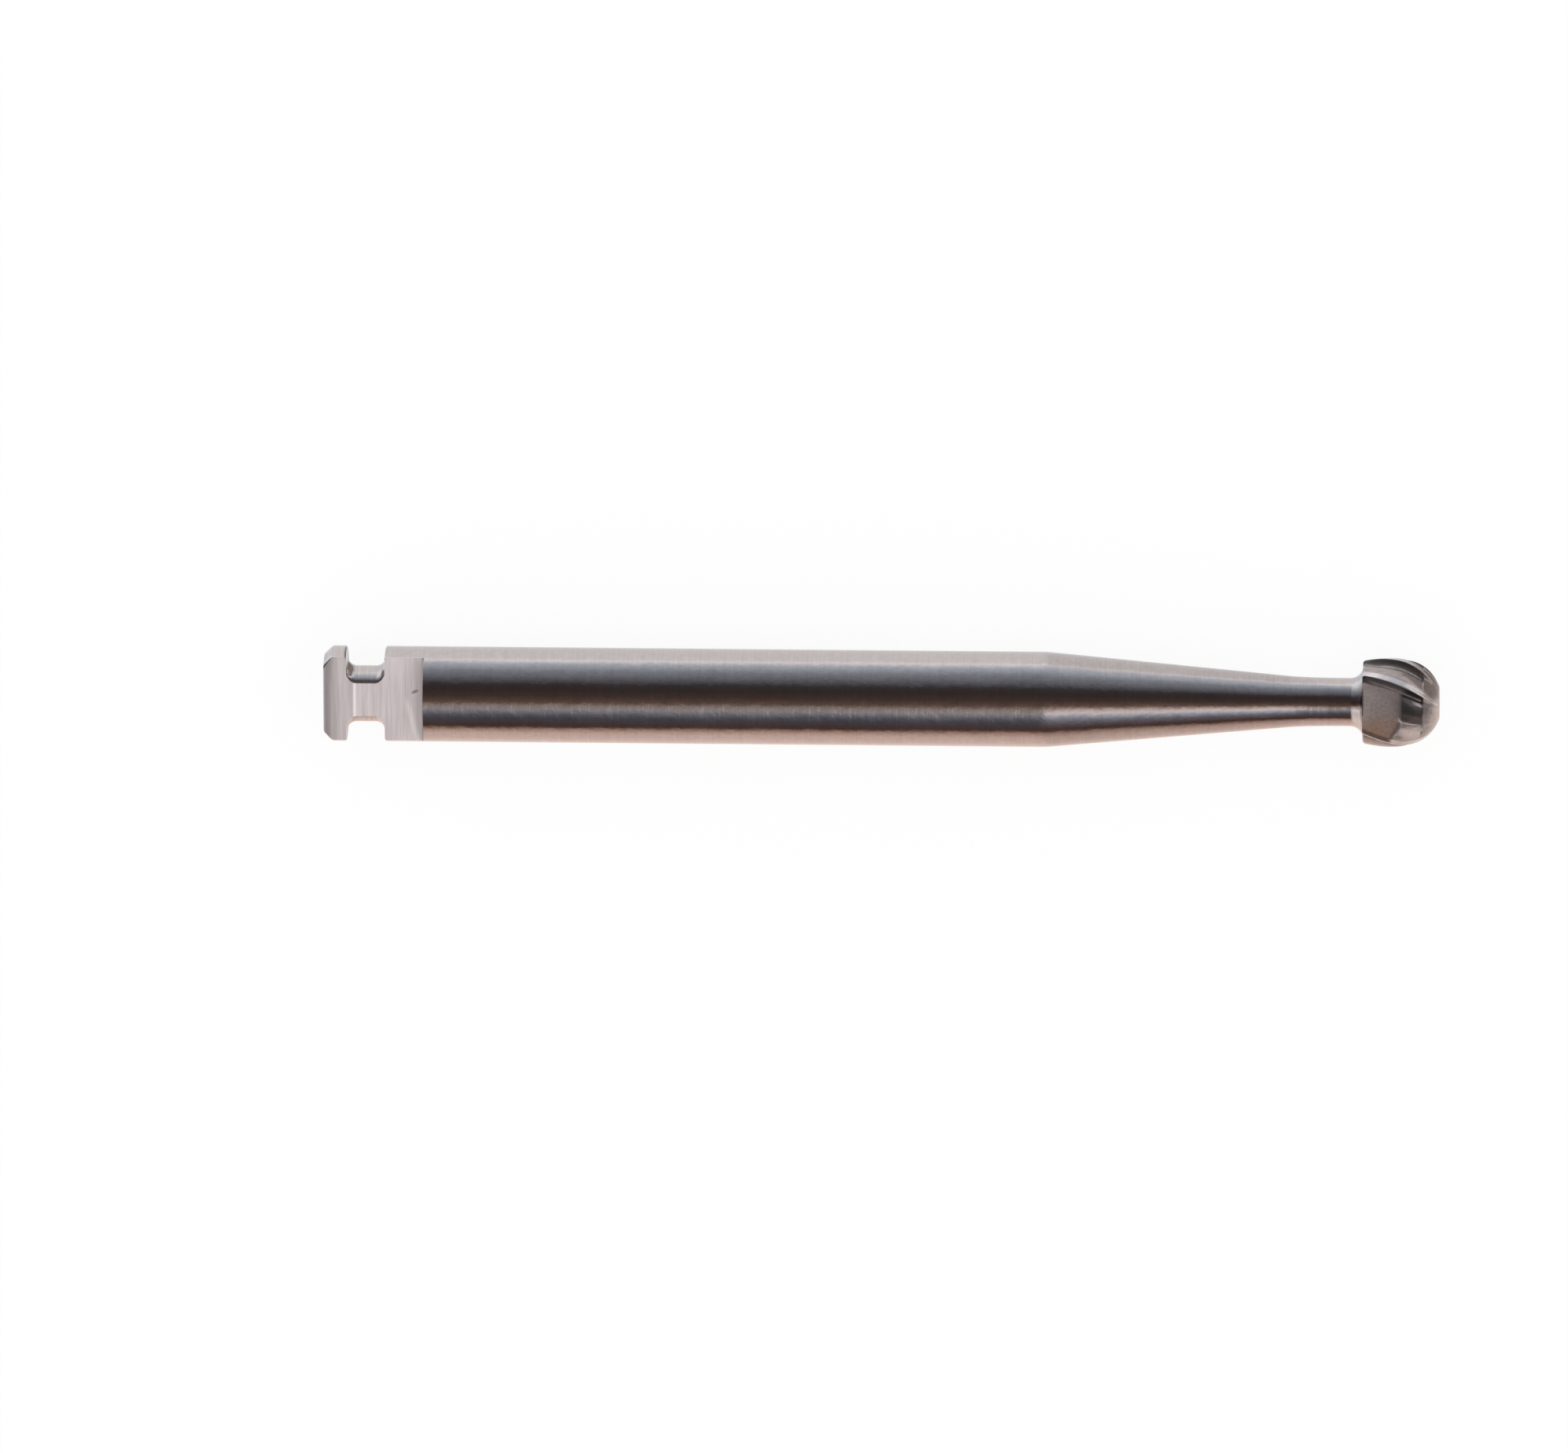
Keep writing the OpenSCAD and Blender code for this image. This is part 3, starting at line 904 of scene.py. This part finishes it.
def milled_steel():
    """The drive flat: cutter marks, painted shade near its ends, a painted highlight line where the
    groove starts, one pit and one scuff.
    """
    material, g, place = new_material("milled_steel")
    axes = g.node("ShaderNodeSeparateXYZ", {0: place}).outputs
    along = g.math("SUBTRACT", axes["X"], cad_low.x / MM)
    stops = [(x / FLAT_L, (tone,) * 3) for x, tone in FLAT_TONES_AND_PAINTED_LIGHT]
    tones = g.stops(g.math("DIVIDE", along, FLAT_L), stops)
    marks = grain(g, place, (9, 0.5, 1), detail=5)
    fine = grain(g, place, (34, 1.4, 1), seed=3)
    both = g.math("ADD", g.math("MULTIPLY", marks, COARSE_MARKS), g.math("MULTIPLY", fine, FINE_MARKS))
    off_x = g.math("SUBTRACT", along, PIT_AT[0])
    off_y = g.math("SUBTRACT", axes["Y"], PIT_AT[1])
    off_y = g.math("ADD", off_y, g.math("MULTIPLY", off_x, PIT_SLOPE))
    off_x = g.math("DIVIDE", off_x, PIT_STRETCH)
    squares = g.math("ADD", g.math("POWER", off_x, 2.0), g.math("POWER", off_y, 2.0))
    ragged = g.math("SUBTRACT", g.math("SQRT", squares), g.math("MULTIPLY", marks, PIT_RAGGED))
    pit = g.ramp(ragged, PIT_FLOOR_R, PIT_R, 1, 0, smooth=True)
    scuff_x = g.math("ADD", g.math("MULTIPLY", axes["Y"], SCUFF_SLOPE), SCUFF_AT)
    off_scuff = g.math("ABSOLUTE", g.math("SUBTRACT", along, scuff_x))
    scuff = g.ramp(off_scuff, 0.0, SCUFF_W, 1, 0, smooth=True)
    scuff = g.math("MULTIPLY", scuff, g.ramp(axes["Y"], SCUFF_FROM, SCUFF_TO))
    wear = g.math("MULTIPLY", g.ramp(pit, 0, 1, 1, PIT_TONE), g.ramp(scuff, 0, 1, 1, SCUFF_TONE))
    shade_of = g.math("MULTIPLY", g.ramp(both, 0, 1, *MILLED_TONES), wear)
    metal(
        g,
        g.vector("MULTIPLY", scaled(g, tones, shade_of), MILLED),
        MILLED_ROUGHNESS,
        bump(g, g.math("SUBTRACT", both, g.math("MULTIPLY", pit, PIT_DEPTH)), MILLED_DEPTH),
        metallic=MILLED_METALLIC,
    )
    return material


def turned_steel():
    """Disc, groove and end face, turned with a tool."""
    material, g, place = new_material("turned_steel")
    rings = grain(g, place, (22, 1.2, 1.2))
    metal(
        g,
        scaled(g, STEEL, g.ramp(rings, 0, 1, *TURNED_TONES)),
        TURNED_ROUGHNESS,
        bump(g, rings, TURNED_DEPTH),
        metallic=TURNED_METALLIC,
    )
    return material


def ground_carbide():
    """Ground tungsten carbide with painted shade and highlights, and a matt brown break with painted
    shade towards its far end and along its lower rim.
    """
    material, g, place = new_material("ground_carbide")
    broken = g.node("ShaderNodeAttribute", attribute_name="broken").outputs["Fac"]
    axes = g.node("ShaderNodeSeparateXYZ", {0: place}).outputs
    marks = grain(g, place, (4, 9, 9), detail=4)
    grit = grain(g, place, (17, 17, 17), detail=5, seed=5)
    clouds = grain(g, place, (2.5, 2.5, 2.5), seed=9)
    uneven = g.math("MULTIPLY", g.math("SUBTRACT", clouds, 0.5), UNEVEN)
    low_side = g.math("ADD", g.ramp(axes["Y"], BROWN_FROM, BROWN_TO), uneven, clamp=True)
    from_back = g.math("SUBTRACT", axes["X"], head_low.x / MM)
    far_side = g.math("ADD", g.ramp(from_back, SHADE_FROM, BREAK_L), uneven, clamp=True)
    fracture = g.mix(low_side, g.mix(far_side, FRACTURE, FRACTURE_SHADE), FRACTURE_BROWN)
    fracture = scaled(g, fracture, g.ramp(grit, 0, 1, *FRACTURE_TONES))
    stain = g.node("ShaderNodeAttribute", attribute_name="stain").outputs["Fac"]
    # Painted light and shade of the teeth, mixed with their grinding finish, stored on the mesh
    polish = g.node("ShaderNodeAttribute", attribute_name="polish").outputs["Fac"]
    ground = scaled(g, g.stops(polish, CARBIDE), g.ramp(marks, 0, 1, *GROUND_TONES))
    # Painted shade along the break's lower rim
    colour = g.mix(g.ramp(stain, 0, 1, 0, RIM_SHADE_STRENGTH), g.mix(broken, ground, fracture), RIM_SHADE_COLOUR)
    metal(
        g,
        colour,
        g.ramp(broken, 0, 1, GROUND_ROUGHNESS, FRACTURE_ROUGHNESS),
        bump(g, g.math("MULTIPLY", grit, broken), GRIT_DEPTH, bump(g, marks, GRINDING_DEPTH)),
        metallic=g.ramp(broken, 0, 0.5, GROUND_METALLIC, FRACTURE_METALLIC),
    )
    return material


SHANK_FINISHES = ("ground", "milled", "turned")

# Milled faces: how near the flat they lie, how near the rim its edge reaches and how far they face up
FLAT_TOLERANCE = 0.001
EDGE_SHARE = 0.4
UPWARD = 0.3


def finish_shank(shank):
    """Gives each face of the shank the material of its surface: ground, milled or turned."""
    mesh = shank.data
    for material in (ground_steel(), milled_steel(), turned_steel()):
        mesh.materials.append(material)
    start = cad_low.x
    latch_l = (DISC_T + GROOVE_W) * MM
    flat_z = (SHANK_R + FLAT_Z) * MM
    for face in mesh.polygons:
        x = face.center.x - start
        radius = math.hypot(face.center.y, face.center.z - SHANK_R * MM)
        flat = abs(face.center.z - flat_z) < FLAT_TOLERANCE * MM
        rim = radius > (SHANK_R - EDGE_SHARE * FLAT_EDGE) * MM
        edge = face.center.z > flat_z - FLAT_EDGE * MM and rim
        if x < FLAT_L * MM and face.normal.z > UPWARD and (flat or edge):
            face.material_index = SHANK_FINISHES.index("milled")
        elif x < latch_l:
            face.material_index = SHANK_FINISHES.index("turned")


make_camera()
make_world()
make_floor()
shank = make_shank()
finish_shank(shank)
head = make_head()
head.data.materials.append(ground_carbide())

scene = bpy.context.scene
scene.view_settings.view_transform = "Standard"
